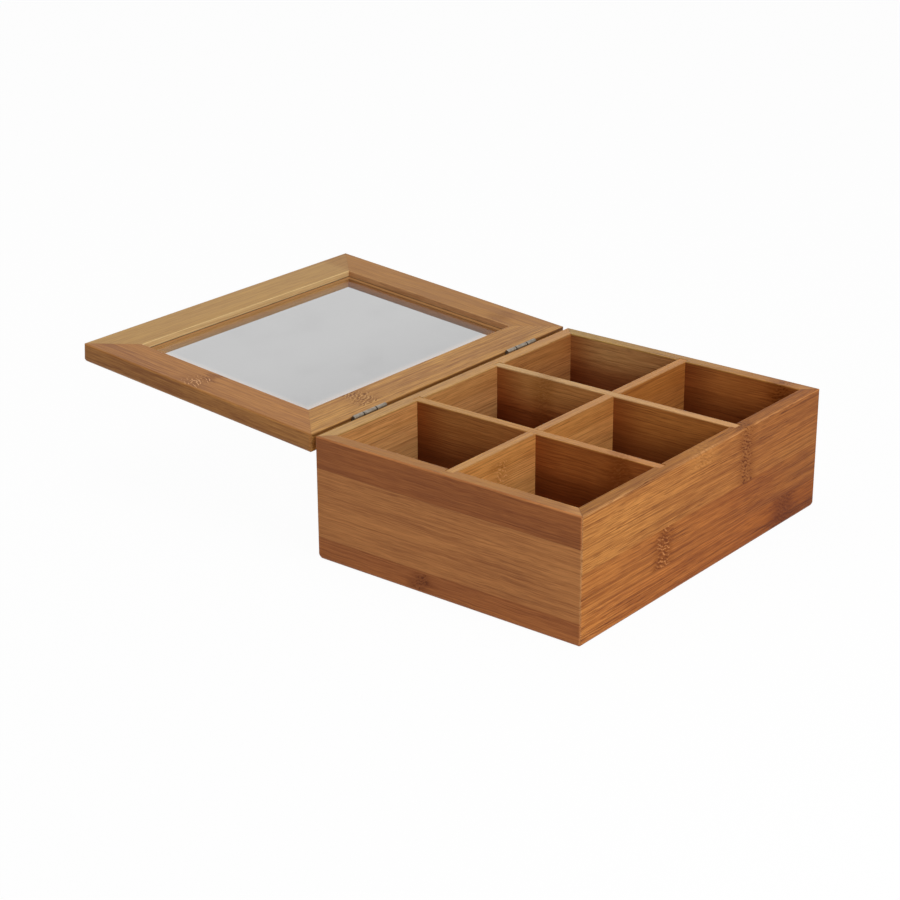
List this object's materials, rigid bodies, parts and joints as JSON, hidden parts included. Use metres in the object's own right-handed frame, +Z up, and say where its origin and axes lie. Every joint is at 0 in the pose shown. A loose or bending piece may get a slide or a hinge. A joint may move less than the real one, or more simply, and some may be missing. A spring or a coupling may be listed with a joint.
{
  "type": "tea bag organizer box",
  "caption": "Low bamboo tea box with six open compartments and a hinged lid that frames a clear window, shown swung open.",
  "frame": {"origin": "middle of the box's underside, on the flush face of the bottom panel", "axes": "+Z up through the open compartments, X along the hinge line, -Y to the front wall; the open lid lies over +Y"},
  "size_m": [0.22, 0.3388, 0.0821],
  "materials": {
    "wall_bamboo": "satin",
    "end_bamboo": "satin",
    "bottom_bamboo": "satin",
    "divider_bamboo": "satin",
    "rail_bamboo": "satin",
    "stile_bamboo": "satin",
    "pane": "clear",
    "hinge_steel": "satin",
    "pin_steel": "satin",
    "screw_steel": "satin"
  },
  "bodies": {
    "box": {"front_wall": "wall_bamboo", "rear_wall": "wall_bamboo", "left_wall": "end_bamboo", "right_wall": "end_bamboo", "bottom_panel": "bottom_bamboo", "long_divider": "divider_bamboo", "left_cross_divider": "divider_bamboo", "right_cross_divider": "divider_bamboo", "left_hinge_box_leaf": "hinge_steel", "left_hinge_pin": "pin_steel", "right_hinge_box_leaf": "hinge_steel", "right_hinge_pin": "pin_steel", "box_screws": "screw_steel"},
    "lid": {"lid_front_rail": "rail_bamboo", "lid_rear_rail": "rail_bamboo", "lid_left_stile": "stile_bamboo", "lid_right_stile": "stile_bamboo", "window_pane": "pane", "left_hinge_lid_leaf": "hinge_steel", "right_hinge_lid_leaf": "hinge_steel", "lid_screws": "screw_steel"}
  },
  "joints": [
    {"name": "lid_hinge", "type": "hinge", "parent": "box", "child": "lid", "pos_m": [0, 0.08475, 0.0686], "axis": [1, 0, 0], "range_deg": [0, 175.4]}
  ]
}
